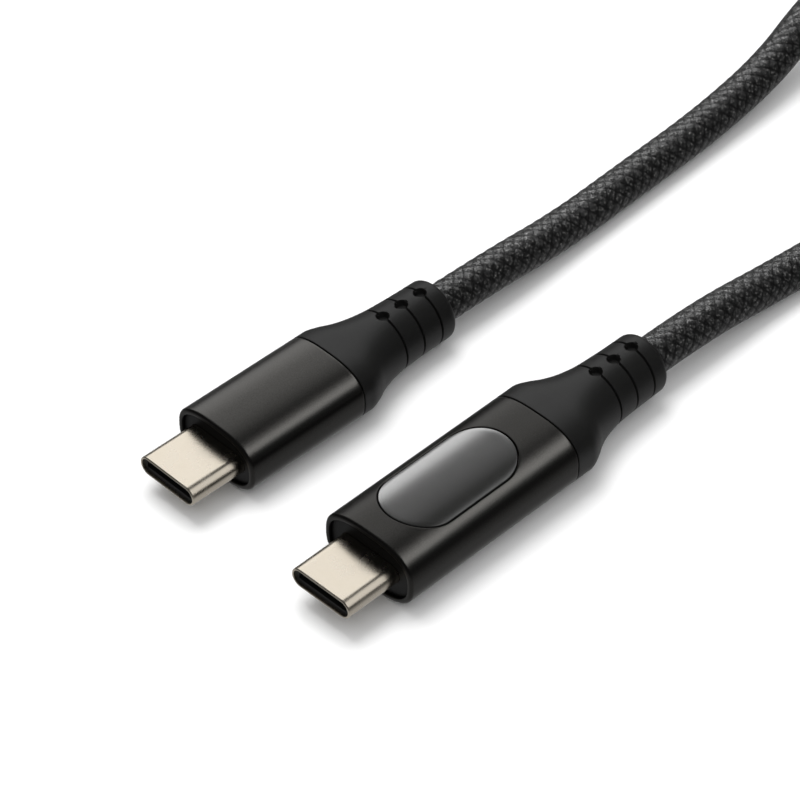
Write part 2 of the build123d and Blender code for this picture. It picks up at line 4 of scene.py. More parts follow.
import bpy
import numpy as np
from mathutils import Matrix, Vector


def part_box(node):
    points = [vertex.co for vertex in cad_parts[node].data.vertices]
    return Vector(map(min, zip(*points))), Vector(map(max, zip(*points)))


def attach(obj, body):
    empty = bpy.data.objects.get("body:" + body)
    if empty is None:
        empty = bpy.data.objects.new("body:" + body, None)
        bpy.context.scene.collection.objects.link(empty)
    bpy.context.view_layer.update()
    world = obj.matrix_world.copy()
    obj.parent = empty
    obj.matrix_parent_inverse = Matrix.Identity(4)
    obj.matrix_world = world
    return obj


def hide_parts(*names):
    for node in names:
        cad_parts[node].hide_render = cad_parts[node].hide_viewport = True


# A braided USB-C cable with a power meter in one plug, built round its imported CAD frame.
# Lengths are in millimetres, and MM turns them into metres where a mesh is made. Lights are
# placed in metres.

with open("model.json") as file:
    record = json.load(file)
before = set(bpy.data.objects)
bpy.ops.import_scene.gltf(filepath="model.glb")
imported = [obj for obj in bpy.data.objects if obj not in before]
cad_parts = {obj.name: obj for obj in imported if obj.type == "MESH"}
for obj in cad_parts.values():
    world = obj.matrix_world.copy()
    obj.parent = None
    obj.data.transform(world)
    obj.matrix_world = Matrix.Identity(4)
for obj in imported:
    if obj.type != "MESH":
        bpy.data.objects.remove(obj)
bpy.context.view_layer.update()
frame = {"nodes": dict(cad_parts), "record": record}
MM = 0.001
BODY = "cable_body"

# ---------------------------------------------------------------- sizes shared with the CAD

OVAL_POWER = 2.7  # superellipse power of the plug bodies' cross-section
LAND_DROP = 0.12  # the flat strip underneath takes this much off the oval
WALL = 0.6  # of the metal sleeves
LIP_FILLET = 0.35
SEAM_GAP = 0.15
SHELL_WIDTH = 8.25
SHELL_HEIGHT = 2.40
SHELL_WALL = 0.25
SHELL_EXPOSED = 6.7  # from the nose tip to the sleeve's front edge
SHELL_LENGTH = 11.7
INSERT_RECESS = 0.4
INSERT_BACK = 9.3  # the insert's rear face, from the nose tip
WINDOW_LENGTH = 16.9
WINDOW_WIDTH = 8.8
WINDOW_CENTRE = SHELL_EXPOSED + 11.6
WINDOW_GAP = 0.1
LENS_BOTTOM = 2.75
BOOT_END_DIAMETER = 7.1
BOOT_END_FILLET = 0.7
SPIGOT_LENGTH = 4.5
SPIGOT_INSET = 0.65
CRIMP_END = 0.6  # the crimp ring ends this far before the seam
CRIMP_RADIUS = 2.6
GROOVE_PITCH = 2.77
GROOVE_TO_END = 2.3
GROOVE_SLIT = 0.2
GROOVE_DEPTH = 0.3
HOLE_RADIUS = 0.7
HOLE_DEPTH = 0.7
CABLE_DIAMETER = 4.5
CABLE_RADIUS = CABLE_DIAMETER / 2


class Plug:
    """One plug: its own frame runs x back from the nose tip, y across and z up from its axis."""

    def __init__(self, name, yaw, width, height, sleeve, boot, band):
        self.name = name
        self.width = width
        self.height = height
        self.seam = SHELL_EXPOSED + sleeve
        self.end = self.seam + boot
        self.boot = boot
        self.band = band
        self.along = np.array((cos(yaw), sin(yaw), 0))
        self.across = np.array((-sin(yaw), cos(yaw), 0))
        low, high = (np.array(corner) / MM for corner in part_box(name + "_plug_shell"))
        self.nose = (low + high) / 2 - self.along * SHELL_LENGTH / 2

    def place(self, points):
        """Points of the plug's own frame, in the row's frame."""
        points = np.asarray(points, float)
        up = np.array((0, 0, 1))
        turned = (
            points[..., :1] * self.along + points[..., 1:2] * self.across + points[..., 2:] * up
        )
        return turned + self.nose


display = Plug("display", 0, 12.4, 7.8, 24.6, 17.0, 2.5)
plain = Plug("plain", radians(-1.25), 11.6, 7.2, 16.0, 16.0, 1.5)

# ---------------------------------------------------------------- camera

CAMERA_TARGET = Vector((4.464, 17.097, 0)) * MM
CAMERA_AZIMUTH = radians(45.293)
CAMERA_ELEVATION = radians(43.227)
CAMERA_DISTANCE = 410.746 * MM
CAMERA_LENS = 173.27


def make_camera():
    data = bpy.data.cameras.new("camera")
    data.lens = CAMERA_LENS
    data.sensor_width = 36
    data.clip_start = 0.01
    camera = bpy.data.objects.new("camera", data)
    bpy.context.scene.collection.objects.link(camera)
    level = Vector((sin(CAMERA_AZIMUTH), cos(CAMERA_AZIMUTH), 0))
    view = level * cos(CAMERA_ELEVATION) - Vector((0, 0, 1)) * sin(CAMERA_ELEVATION)
    camera.location = CAMERA_TARGET - view * CAMERA_DISTANCE
    camera.rotation_euler = view.to_track_quat("-Z", "Y").to_euler()
    bpy.context.scene.camera = camera


make_camera()

# ---------------------------------------------------------------- materials


class Shader:
    """A node material with one Principled shader, and short ways to add to it."""

    def __init__(self, name, colour, roughness, **sockets):
        self.material = bpy.data.materials.new(name)
        self.material.use_nodes = True
        self.tree = self.material.node_tree
        self.surface = self.tree.nodes["Principled BSDF"]
        self.set("Base Color", (*colour, 1))
        self.set("Roughness", roughness)
        for socket, value in sockets.items():
            self.set(socket.replace("_", " "), value)

    def set(self, socket, value):
        self.surface.inputs[socket].default_value = value

    def node(self, kind, **settings):
        made = self.tree.nodes.new("ShaderNode" + kind)
        for name, value in settings.items():
            setattr(made, name, value)
        return made

    def link(self, source, target):
        self.tree.links.new(source, target)

    def coordinates(self, scale=(1, 1, 1), kind="Object"):
        """Texture coordinates in millimetres, times scale."""
        source = self.node("TexCoord")
        mapping = self.node("Mapping")
        unit = 1 if kind == "UV" else 1 / MM
        mapping.inputs["Scale"].default_value = [s * unit for s in scale]
        self.link(source.outputs[kind], mapping.inputs["Vector"])
        return mapping.outputs["Vector"]

    def noise(self, coordinates, scale=1.0, detail=3.0, roughness=0.55):
        made = self.node("TexNoise")
        made.inputs["Scale"].default_value = scale
        made.inputs["Detail"].default_value = detail
        made.inputs["Roughness"].default_value = roughness
        self.link(coordinates, made.inputs["Vector"])
        return made.outputs["Fac"]

    def ramp(self, factor, stops):
        """A colour ramp through (position, grey or colour) stops."""
        made = self.node("ValToRGB")
        elements = made.color_ramp.elements
        while len(elements) < len(stops):
            elements.new(0.5)
        for element, (position, value) in zip(elements, stops):
            element.position = position
            colour = (value, value, value) if isinstance(value, (int, float)) else value
            element.color = (*colour, 1)
        self.link(factor, made.inputs["Fac"])
        return made.outputs["Color"]

    def math(self, operation, *values):
        """A maths node. Each value is a number or another node's output."""
        made = self.node("Math", operation=operation)
        for socket, value in zip(made.inputs, values):
            if isinstance(value, (int, float)):
                socket.default_value = value
            else:
                self.link(value, socket)
        return made.outputs[0]

    def arch(self, value):
        """0 at each whole number and 1 midway between."""
        share = self.math("FRACT", value)
        return self.math("MULTIPLY", share, self.math("MULTIPLY_ADD", share, -4.0, 4.0))

    def colour(self, factor, stops):
        self.link(self.ramp(factor, stops), self.surface.inputs["Base Color"])

    def gloss(self, factor, stops):
        self.link(self.ramp(factor, stops), self.surface.inputs["Roughness"])

    def bump(self, height, distance, strength=1.0):
        made = self.node("Bump")
        made.inputs["Strength"].default_value = strength
        made.inputs["Distance"].default_value = distance * MM
        self.link(height, made.inputs["Height"])
        self.link(made.outputs["Normal"], self.surface.inputs["Normal"])


def anodised_material():
    """Fine bead-blasted, black-anodised aluminium."""
    shader = Shader("anodised_grey", (0.047, 0.0457, 0.043), 0.3, Metallic=1.0)
    grain = shader.noise(shader.coordinates(), 9.0, 4.0)
    shader.colour(grain, [(0.35, (0.040, 0.0388, 0.0366)), (0.65, (0.054, 0.0524, 0.0497))])
    shader.gloss(grain, [(0.3, 0.28), (0.7, 0.34)])
    shader.bump(shader.noise(shader.coordinates(), 22.0, 2.0), 0.003, 0.4)
    return shader.material


def nickel_material():
    """Satin nickel with faint clouding."""
    shader = Shader("nickel_shell", (0.80, 0.725, 0.61), 0.26, Metallic=1.0)
    clouds = shader.noise(shader.coordinates(), 0.6, 2.0)
    shader.gloss(clouds, [(0.3, 0.23), (0.7, 0.29)])
    shader.colour(clouds, [(0.3, (0.77, 0.695, 0.58)), (0.7, (0.83, 0.755, 0.64))])
    shader.bump(shader.noise(shader.coordinates(), 2.5, 2.0), 0.001, 0.2)
    return shader.material


def moulded_material(name, colour, roughness, grain=14.0, depth=0.012, specular=0.5):
    """Moulded plastic or rubber with a fine grain."""
    shader = Shader(name, colour, roughness, Specular_IOR_Level=specular)
    spots = shader.noise(shader.coordinates(), grain, 3.0)
    dark = tuple(0.75 * c for c in colour)
    light = tuple(1.25 * c for c in colour)
    shader.colour(spots, [(0.35, dark), (0.65, light)])
    shader.gloss(spots, [(0.3, max(roughness - 0.06, 0.05)), (0.7, min(roughness + 0.06, 1))])
    shader.bump(spots, depth, 0.6)
    return shader.material


def window_material():
    """Smoked acrylic with a satin face."""
    shader = Shader("smoked_window", (0.010, 0.010, 0.0095), 0.24, Specular_IOR_Level=0.38)
    haze = shader.noise(shader.coordinates(), 1.2, 3.0)
    shader.gloss(haze, [(0.3, 0.23), (0.7, 0.26)])
    return shader.material


def metal_material(name, colour, roughness):
    """Bare or plated metal with faint lengthwise wear."""
    shader = Shader(name, colour, roughness, Metallic=1.0)
    wear = shader.noise(shader.coordinates((1, 6, 6)), 2.5, 4.0)
    shader.gloss(wear, [(0.3, roughness - 0.05), (0.7, roughness + 0.08)])
    shader.colour(wear, [(0.3, tuple(0.92 * c for c in colour)), (0.7, colour)])
    return shader.material


def braid_material():
    """Black nylon yarn with grey flecks, and painted shade that dims them at each yarn's edges
    and ends. UV is in yarn widths: x across a yarn and y along it.
    """
    shader = Shader("braid_black", (0.01, 0.01, 0.01), 0.35)
    places = shader.node("SeparateXYZ")
    shader.link(shader.coordinates(kind="UV"), places.inputs[0])
    crown = shader.arch(places.outputs["X"])
    float_length = shader.arch(places.outputs["Y"])
    knuckle = shader.math("MULTIPLY", crown, float_length)
    specks = shader.noise(shader.coordinates((5.0, 3.0, 1), "UV"), 1.0, 3.0, 0.75)
    # painted shade: the knuckle ramp dims the flecks to 0.72 at each yarn's edges and at the ends
    # of its float, darkening the gaps between yarns
    flecks_and_painted_shade = shader.math("MULTIPLY", specks, shader.ramp(knuckle, [(0.0, 0.72), (0.40, 1.0)]))
    fleck = (0.125, 0.123, 0.118)
    shader.colour(flecks_and_painted_shade, [(0.42, 0.002), (0.50, 0.008), (0.57, 0.04), (0.66, fleck)])
    shader.gloss(flecks_and_painted_shade, [(0.30, 0.75), (0.52, 0.27)])
    grooves = shader.math("ADD", shader.math("MULTIPLY", specks, 1.4), knuckle)
    shader.bump(grooves, 0.06, 0.8)
    return shader.material


def strap_material():
    """Black hook-and-loop tape."""
    shader = Shader("strap_black", (0.02, 0.02, 0.02), 0.8, Sheen_Weight=0.4)
    loops = shader.node("TexVoronoi", feature="SMOOTH_F1")
    loops.inputs["Scale"].default_value = 2.2
    shader.link(shader.coordinates(), loops.inputs["Vector"])
    shader.colour(loops.outputs["Distance"], [(0.1, 0.035), (0.6, 0.008)])
    shader.bump(loops.outputs["Distance"], 0.15, 0.7)
    return shader.material


def board_material():
    """Green solder mask with faint tracks."""
    shader = Shader("circuit_board", (0.02, 0.09, 0.045), 0.35)
    tracks = shader.node("TexBrick")
    tracks.inputs["Scale"].default_value = 0.8
    tracks.inputs["Color1"].default_value = (0.02, 0.09, 0.045, 1)
    tracks.inputs["Color2"].default_value = (0.025, 0.11, 0.055, 1)
    tracks.inputs["Mortar"].default_value = (0.05, 0.17, 0.08, 1)
    shader.link(shader.coordinates(), tracks.inputs["Vector"])
    shader.link(tracks.outputs["Color"], shader.surface.inputs["Base Color"])
    return shader.material


MATERIALS = {
    "nickel_shell": nickel_material(),
    "anodised_grey": anodised_material(),
    "insert_black": moulded_material("insert_black", (0.004, 0.004, 0.004), 0.45, specular=0.2),
    "black_insulator": moulded_material("black_insulator", (0.008, 0.008, 0.008), 0.5),
    "smoked_window": window_material(),
    "gasket_black": moulded_material("gasket_black", (0.005, 0.005, 0.005), 0.7),
    "display_black": moulded_material("display_black", (0.006, 0.006, 0.006), 0.6),
    "segment_pale": moulded_material("segment_pale", (0.30, 0.30, 0.28), 0.4),
    "boot_black": moulded_material("boot_black", (0.007, 0.007, 0.0068), 0.45, 10.0, 0.006),
    "inner_mould": moulded_material("inner_mould", (0.45, 0.45, 0.43), 0.5),
    "chip_black": moulded_material("chip_black", (0.012, 0.012, 0.012), 0.5),
    "wire_red": moulded_material("wire_red", (0.45, 0.02, 0.02), 0.35, 6.0, 0.004),
    "wire_black": moulded_material("wire_black", (0.01, 0.01, 0.01), 0.35, 6.0, 0.004),
    "wire_signal": moulded_material("wire_signal", (0.05, 0.11, 0.42), 0.35, 6.0, 0.004),
    "gold_contact": metal_material("gold_contact", (0.90, 0.66, 0.28), 0.25),
    "spring_steel": metal_material("spring_steel", (0.62, 0.61, 0.58), 0.3),
    "circuit_board": board_material(),
    "braid_black": braid_material(),
    "strap_black": strap_material(),
}


def dress_cad_nodes():
    """Gives every CAD node that stays in view its slot's material."""
    for part in frame["record"]["subparts"]:
        materials = frame["nodes"][part["node"]].data.materials
        materials.clear()
        materials.append(MATERIALS[part["material_slot"]])


# ---------------------------------------------------------------- mesh helpers

SHARP_EDGE = radians(38)


def finish_piece(name, points, faces, slot, replaced=(), uv=None):
    """A smooth-shaded piece that rides on the cable's body, from points in millimetres."""
    mesh = bpy.data.meshes.new(name)
    mesh.from_pydata((np.asarray(points) * MM).tolist(), [], faces)
    mesh.validate()
    if uv is not None:
        layer = mesh.uv_layers.new(name="yarn")
        layer.uv.foreach_set("vector", np.asarray(uv, np.float32).ravel())
    mesh.polygons.foreach_set("use_smooth", [True] * len(mesh.polygons))
    mesh.set_sharp_from_angle(angle=SHARP_EDGE)
    mesh.materials.append(MATERIALS[slot])
    piece = bpy.data.objects.new(name, mesh)
    bpy.context.scene.collection.objects.link(piece)
    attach(piece, BODY)
    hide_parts(*replaced)
    return piece


def grid_faces(rows, columns, loop_rows=False, skip=None):
    """Quads between closed rings of points. loop_rows joins the last ring to the first."""
    faces = []
    for i in range(rows if loop_rows else rows - 1):
        here, below = i * columns, (i + 1) % rows * columns
        for j in range(columns):
            if skip and skip(i, j):
                continue
            after = (j + 1) % columns
            faces.append((here + j, below + j, below + after, here + after))
    return faces


def join_loops(outside, inside):
    """Quads between two closed loops of the same number of points."""
    count = len(outside)
    pairs = [(k, (k + 1) % count) for k in range(count)]
    return [(outside[k], inside[k], inside[n], outside[n]) for k, n in pairs]


def even_ring(outline, count):
    """count points evenly spaced round a closed outline, the first of them its first point."""
    closed = np.vstack([outline, outline[:1]])
    steps = np.hypot(*np.diff(closed, axis=0).T)
    run = np.concatenate([[0], np.cumsum(steps)])
    at = np.linspace(0, run[-1], count, endpoint=False)
    return np.column_stack([np.interp(at, run, closed[:, k]) for k in (0, 1)])


def oval_outline(width, height, power=OVAL_POWER):
    """A fine superellipse outline, from the middle of its top round through +y."""
    turn = np.linspace(0, 2 * pi, 2880, endpoint=False)
    across = np.sign(np.sin(turn)) * np.abs(np.sin(turn)) ** (2 / power) * width / 2
    up = np.sign(np.cos(turn)) * np.abs(np.cos(turn)) ** (2 / power) * height / 2
    return np.column_stack([across, up])


def slot_outline(width, height):
    """A fine stadium outline, from the middle of its top round through +y."""
    radius = height / 2
    half = width / 2 - radius
    turn = np.linspace(0, pi, 400)
    right = np.column_stack([half + radius * np.sin(turn), radius * np.cos(turn)])
    return np.vstack([[(0, radius)], right, -right])


def body_ring(plug, inset, count):
    """The body's cross-section shrunk by inset, with its flat strip underneath."""
    ring = even_ring(oval_outline(plug.width - 2 * inset, plug.height - 2 * inset), count)
    ring[:, 1] = np.maximum(ring[:, 1], LAND_DROP - plug.height / 2 + inset)
    return ring


def stack(rings):
    """(x, ring) pairs as one array of points, ring after ring."""
    return np.vstack([np.column_stack([np.full(len(ring), x), ring]) for x, ring in rings])


def quarter(steps):
    """Sine and cosine from 0 to a right angle."""
    return [(sin(a), cos(a)) for a in np.linspace(0, pi / 2, steps + 1)]


# ---------------------------------------------------------------- cable route

TIE_THICKNESS = 0.9
HANK_CENTRE_Y = 8.0
HANK_LEFT_X = 118.25
HANK_RIGHT_X = 188.25
HANK_TIE_X = (HANK_LEFT_X + HANK_RIGHT_X) / 2
LOW_LAYER = CABLE_RADIUS
HIGH_LAYER = CABLE_RADIUS + CABLE_DIAMETER
OUTER_LANE = 18.0
INNER_LANE = 13.5
WAIST = {OUTER_LANE: 6.75, INNER_LANE: 2.25}  # where each lane runs through the tie
WAIST_STRAIGHT = 10.0  # each pass is straight this far either side of the tie
# distance from the tie's middle, and share of the tie's thickness that the cable has risen there
WAIST_STATIONS = ((18.0, 0.35), (WAIST_STRAIGHT, 0.85), (3.0, 1.0))
FOLD_LEAN = radians(29)  # each fold wraps past a half turn by this much at both ends
FOLD_STEPS = 8
# each fold: end of the hank, radius, centre's shift in x and y, layer where it starts and ends,
# and lane where it starts
FOLDS = [
    (1, 18.0, 0.0, 0.0, LOW_LAYER, LOW_LAYER, OUTER_LANE),
    (-1, 15.75, 0.0, 2.25, LOW_LAYER, LOW_LAYER, OUTER_LANE),
    (1, 13.5, 0.0, 0.0, LOW_LAYER, LOW_LAYER, INNER_LANE),
    (-1, 13.0, 2.6, 0.0, LOW_LAYER, HIGH_LAYER, INNER_LANE),
    (1, 13.5, 0.0, 0.0, HIGH_LAYER, HIGH_LAYER, INNER_LANE),
    (-1, 15.75, 0.0, -2.25, HIGH_LAYER, HIGH_LAYER, INNER_LANE),
    (1, 18.0, 0.0, 0.0, HIGH_LAYER, HIGH_LAYER, OUTER_LANE),
]


def fold_points(end, radius, shift_x, shift_y, start_z, end_z):
    """Control points of one fold, from -y to +y at the hank's right end and back at its left."""
    centre_x = (HANK_RIGHT_X if end > 0 else HANK_LEFT_X) + shift_x
    centre_y = HANK_CENTRE_Y + shift_y
    reach = pi + 2 * FOLD_LEAN
    step = reach / FOLD_STEPS
    outside = radius / cos(step / 2)  # a quadratic curve passes inside its control points
    middle = 0 if end > 0 else pi
    points = []
    for k in range(FOLD_STEPS + 1):
        share = k / FOLD_STEPS
        angle = middle - reach / 2 + share * reach
        ease = share * share * (3 - 2 * share)
        points.append(
            (
                centre_x + outside * cos(angle),
                centre_y + outside * sin(angle),
                start_z + ease * (end_z - start_z),
            )
        )
    return points


def waist_points(side, heading, lane, layer):
    """Control points of one pass through the tie, on one side of the hank, along heading."""
    half = []
    for offset, rise in WAIST_STATIONS:
        spread = max(offset - WAIST_STRAIGHT, 0) * tan(FOLD_LEAN)
        half.append((offset, WAIST[lane] + spread, layer + rise * TIE_THICKNESS))
    passes = [(-o, y, z) for o, y, z in half] + [(o, y, z) for o, y, z in reversed(half)]
    return [(HANK_TIE_X + heading * o, HANK_CENTRE_Y + side * y, z) for o, y, z in passes]


def cable_route():
    """The cable's control points from the display plug's boot to the plain plug's boot."""
    low_y = HANK_CENTRE_Y - OUTER_LANE
    high_y = HANK_CENTRE_Y + OUTER_LANE
    straight = 9.0  # out of each boot, in line with it
    route = [
        tuple(display.place((display.end, 0, 0))),
        tuple(display.place((display.end + straight, 0, 0))),
        (45.2, -0.4, LOW_LAYER),
        (57.5, -1.6, LOW_LAYER),
        (70.0, -4.6, LOW_LAYER),
        (80.0, -8.0, LOW_LAYER),
        (89.5, low_y, LOW_LAYER),
        (98.0, low_y, LOW_LAYER),
        (110.0, low_y, LOW_LAYER),
        (123.0, low_y + 1.2, LOW_LAYER),
    ]
    side = -1
    for end, radius, shift_x, shift_y, start_z, end_z, lane in FOLDS:
        route += waist_points(side, end, lane, start_z)
        route += fold_points(end, radius, shift_x, shift_y, start_z, end_z)
        side = -side
    route += waist_points(side, -1, OUTER_LANE, HIGH_LAYER)
    route += [
        (123.0, high_y - 1.2, HIGH_LAYER),
        (110.0, high_y, HIGH_LAYER),
        (98.0, high_y, HIGH_LAYER),
        (89.5, high_y, HIGH_LAYER),
        (81.0, 25.2, 5.6),
        (72.0, 23.6, 3.4),
        (60.0, 22.85, LOW_LAYER),
        (47.5, 22.45, LOW_LAYER),
        (35.0, 22.0, LOW_LAYER),
        tuple(plain.place((plain.end + straight, 0, 0))),
        tuple(plain.place((plain.end, 0, 0))),
    ]
    return route


def smooth_line(route):
    """The points of the NURBS curve through the route's control points, in millimetres."""
    data = bpy.data.curves.new("route", "CURVE")
    data.dimensions = "3D"
    spline = data.splines.new("NURBS")
    spline.points.add(len(route) - 1)
    for point, place in zip(spline.points, route):
        point.co = (*(c * MM for c in place), 1)
    spline.order_u = 3
    spline.use_endpoint_u = True
    spline.resolution_u = 24
    holder = bpy.data.objects.new("route", data)
    bpy.context.scene.collection.objects.link(holder)
    bpy.context.view_layer.update()
    depsgraph = bpy.context.evaluated_depsgraph_get()
    mesh = bpy.data.meshes.new_from_object(holder.evaluated_get(depsgraph))
    line = np.array([v.co for v in mesh.vertices]) / MM
    bpy.data.objects.remove(holder)
    bpy.data.curves.remove(data)
    bpy.data.meshes.remove(mesh)
    return line


def even_line(line, spacing):
    """The same line with its points evenly spaced, and its length."""
    run = np.concatenate([[0], np.cumsum(np.linalg.norm(np.diff(line, axis=0), axis=1))])
    count = int(round(run[-1] / spacing)) + 1
    at = np.linspace(0, run[-1], count)
    return np.column_stack([np.interp(at, run, line[:, k]) for k in range(3)]), run[-1]


def steady_frames(line):
    """Two unit vectors across the line at each point, turning as little as they can along it."""
    tangents = np.gradient(line, axis=0)
    tangents /= np.linalg.norm(tangents, axis=1)[:, None]
    up = np.zeros_like(line)
    guide = np.array((0.0, 0.0, 1.0))
    for k, tangent in enumerate(tangents):
        guide = guide - tangent * guide.dot(tangent)
        guide /= np.linalg.norm(guide)
        up[k] = guide
    return up, np.cross(tangents, up)


# ---------------------------------------------------------------- braid

YARNS = 8  # in each direction
BRAID_PITCH = 1.55  # along the cable, from one yarn to the next
YARN_CROWN = 0.08  # how far each yarn's middle stands above its edges
YARN_WEAVE = 0.04  # how far it rises over a crossing and sinks under one
BRAID_PROUD = 0.04  # how far the highest yarns stand past the cable's nominal size
BRAID_COUNT = 72
BRAID_SPACING = 0.24
UV_YARN_STEP = 4  # moves each yarn's flecks away from its neighbours'
UV_FAMILY_STEP = 31  # the same for the two directions


def braid_height(u, v):
    """How far the woven surface stands out, from the two families' yarn coordinates."""
    i, j = np.floor(u), np.floor(v)
    across_u, across_v = u - i - 0.5, v - j - 0.5
    crown_u = YARN_CROWN * np.sqrt(np.maximum(1 - (2 * across_u) ** 2, 0))
    crown_v = YARN_CROWN * np.sqrt(np.maximum(1 - (2 * across_v) ** 2, 0))
    lift_u = YARN_WEAVE * np.cos(pi * (v - 0.5 + i))
    lift_v = -YARN_WEAVE * np.cos(pi * (u - 0.5 + j))
    return np.maximum(crown_u + lift_u, crown_v + lift_v)


def braid_uv(faces, turn, along):
    """Across and along the yarn that is on top at each face, in yarn widths, at each corner."""
    corner_turn = turn[faces]
    corner_turn = corner_turn + (corner_turn < corner_turn[:, :1] - pi) * 2 * pi
    corner_turn = corner_turn - (corner_turn > corner_turn[:, :1] + pi) * 2 * pi
    around = corner_turn / (2 * pi) * YARNS
    down = along[faces] / BRAID_PITCH
    u, v = around + down, around - down
    i = np.floor(u.mean(axis=1))[:, None]
    j = np.floor(v.mean(axis=1))[:, None]
    u_on_top = (i + j) % 2 == 0
    across = np.where(u_on_top, u - i, v - j)
    length = np.where(u_on_top, v, u)
    yarn = np.where(u_on_top, i, j + UV_FAMILY_STEP)
    return np.stack([across + yarn * UV_YARN_STEP, length + UV_FAMILY_STEP * u_on_top], axis=-1)


def make_cable():
    """The woven cable, with the line that it follows and its length."""
    line, length = even_line(smooth_line(cable_route()), BRAID_SPACING)
    up, side = steady_frames(line)
    turns = np.linspace(0, 2 * pi, BRAID_COUNT, endpoint=False)
    along = np.arange(len(line)) * BRAID_SPACING
    around = turns[None, :] / (2 * pi) * YARNS
    down = along[:, None] / BRAID_PITCH
    height = braid_height(around + down, around - down)
    radius = CABLE_RADIUS + BRAID_PROUD - YARN_CROWN - YARN_WEAVE + height
    rings = (
        line[:, None, :]
        + (radius * np.cos(turns))[..., None] * up[:, None, :]
        + (radius * np.sin(turns))[..., None] * side[:, None, :]
    )
    rows = len(line)
    index = np.arange(rows * BRAID_COUNT).reshape(rows, BRAID_COUNT)
    after = np.roll(index, -1, axis=1)
    faces = np.stack([index[:-1], after[:-1], after[1:], index[1:]], axis=-1).reshape(-1, 4)
    uv = braid_uv(faces, np.tile(turns, rows), np.repeat(along, BRAID_COUNT))
    caps = [index[0][::-1].tolist(), index[-1].tolist()]
    cap_uv = np.zeros((2 * BRAID_COUNT, 2))
    cable = finish_piece(
        "braided_cable",
        rings.reshape(-1, 3),
        faces.tolist() + caps,
        "braid_black",
        ("cord_display_run", "cord_hank", "cord_plain_run"),
        np.vstack([uv.reshape(-1, 2), cap_uv]),
    )
    return cable, line, length


# ---------------------------------------------------------------- plug pieces

BODY_COUNT = 144
SHELL_COUNT = 160


def make_plug_shell(plug):
    """The drawn nickel-plated shell, with its rolled front lip."""
    lip = 0.16  # the lip's outer radius
    rings = []

    def add(x, inset):
        outline = slot_outline(SHELL_WIDTH - 2 * inset, SHELL_HEIGHT - 2 * inset)
        rings.append((x, even_ring(outline, SHELL_COUNT)))

    for x in np.linspace(SHELL_LENGTH, lip + 0.02, 24):
        add(x, 0)
    for across, back in quarter(6):
        add(lip * (1 - across), lip * (1 - back))
    inner = SHELL_WALL - lip
    for across, back in quarter(4):
        add(inner * (1 - back), lip + inner * across)
    for x in np.linspace(inner + 0.1, SHELL_LENGTH, 12):
        add(x, SHELL_WALL)
    faces = grid_faces(len(rings), SHELL_COUNT, loop_rows=True)
    return finish_piece(
        plug.name + "_nose_shell",
        plug.place(stack(rings)),
        faces,
        "nickel_shell",
        [plug.name + "_plug_shell"],
    )


def make_insert(plug):
    """The recessed black face round the shell."""
    front = SHELL_EXPOSED + INSERT_RECESS
    edge = 0.08
    outer = [(INSERT_BACK, WALL), (front + edge, WALL)]
    outer += [(front + edge * (1 - s), WALL + edge * (1 - c)) for s, c in quarter(3)]
    rings = [(x, body_ring(plug, inset, BODY_COUNT)) for x, inset in outer]
    slot = even_ring(slot_outline(SHELL_WIDTH, SHELL_HEIGHT), BODY_COUNT)
    rim = rings[-1][1]
    for share in (0.25, 0.5, 0.75, 0.96):
        rings.append((front, rim + share * (slot - rim)))
    rings.append((front + 0.06, slot))
    rings.append((INSERT_BACK, slot))
    faces = grid_faces(len(rings), BODY_COUNT, loop_rows=True)
    return finish_piece(
        plug.name + "_mouth_insert",
        plug.place(stack(rings)),
        faces,
        "insert_black",
        [plug.name + "_front_insert"],
    )


def oval_top(plug, y, inset=0.0):
    """The height of the body's outside, or of an inset of it, at y across."""
    half_width = plug.width / 2 - inset
    half_height = plug.height / 2 - inset
    return half_height * (1 - np.abs(y / half_width) ** OVAL_POWER) ** (1 / OVAL_POWER)


def window_ray(points):
    """The window's spine point nearest each plan point (x, y), and the way out from it."""
    half_spine = (WINDOW_LENGTH - WINDOW_WIDTH) / 2
    spine = np.column_stack(
        [
            np.clip(points[:, 0], WINDOW_CENTRE - half_spine, WINDOW_CENTRE + half_spine),
            np.zeros(len(points)),
        ]
    )
    out = points - spine
    return spine, out / np.linalg.norm(out, axis=1)[:, None]


def sleeve_path(plug):
    """(x, inset) stations round the sleeve's wall, from its rear edge forward and back inside."""
    rear = 0.08
    path = [(plug.seam - rear * (1 - c), rear * (1 - s)) for s, c in quarter(3)]
    outside = list(np.linspace(plug.seam - 0.3, SHELL_EXPOSED + LIP_FILLET + 0.1, 60))
    path += [(x, 0.0) for x in outside]
    path += [(SHELL_EXPOSED + LIP_FILLET * (1 - s), LIP_FILLET * (1 - c)) for s, c in quarter(8)]
    inner = 0.1  # rounding of the mouth's inner edge
    rim = WALL - inner
    path += [(SHELL_EXPOSED + inner * (1 - c), rim + inner * s) for s, c in quarter(3)]
    path += [(x, WALL) for x in reversed(outside)]
    path += [(plug.seam, WALL)]
    return path


def finish_sleeve(plug, points, faces):
    return finish_piece(
        plug.name + "_metal_sleeve",
        plug.place(points),
        faces,
        "anodised_grey",
        [plug.name + "_sleeve"],
    )


def make_plain_sleeve(plug):
    rings = [(x, body_ring(plug, inset, BODY_COUNT)) for x, inset in sleeve_path(plug)]
    return finish_sleeve(plug, stack(rings), grid_faces(len(rings), BODY_COUNT, loop_rows=True))


PATCH_HALF_WIDTH = 5.0  # the grid gives way to the window's surround this far across
PATCH_MARGIN = 0.6  # and this far past each end of the window
OPENING_EDGE = 0.1  # rounding of the opening's outer edge


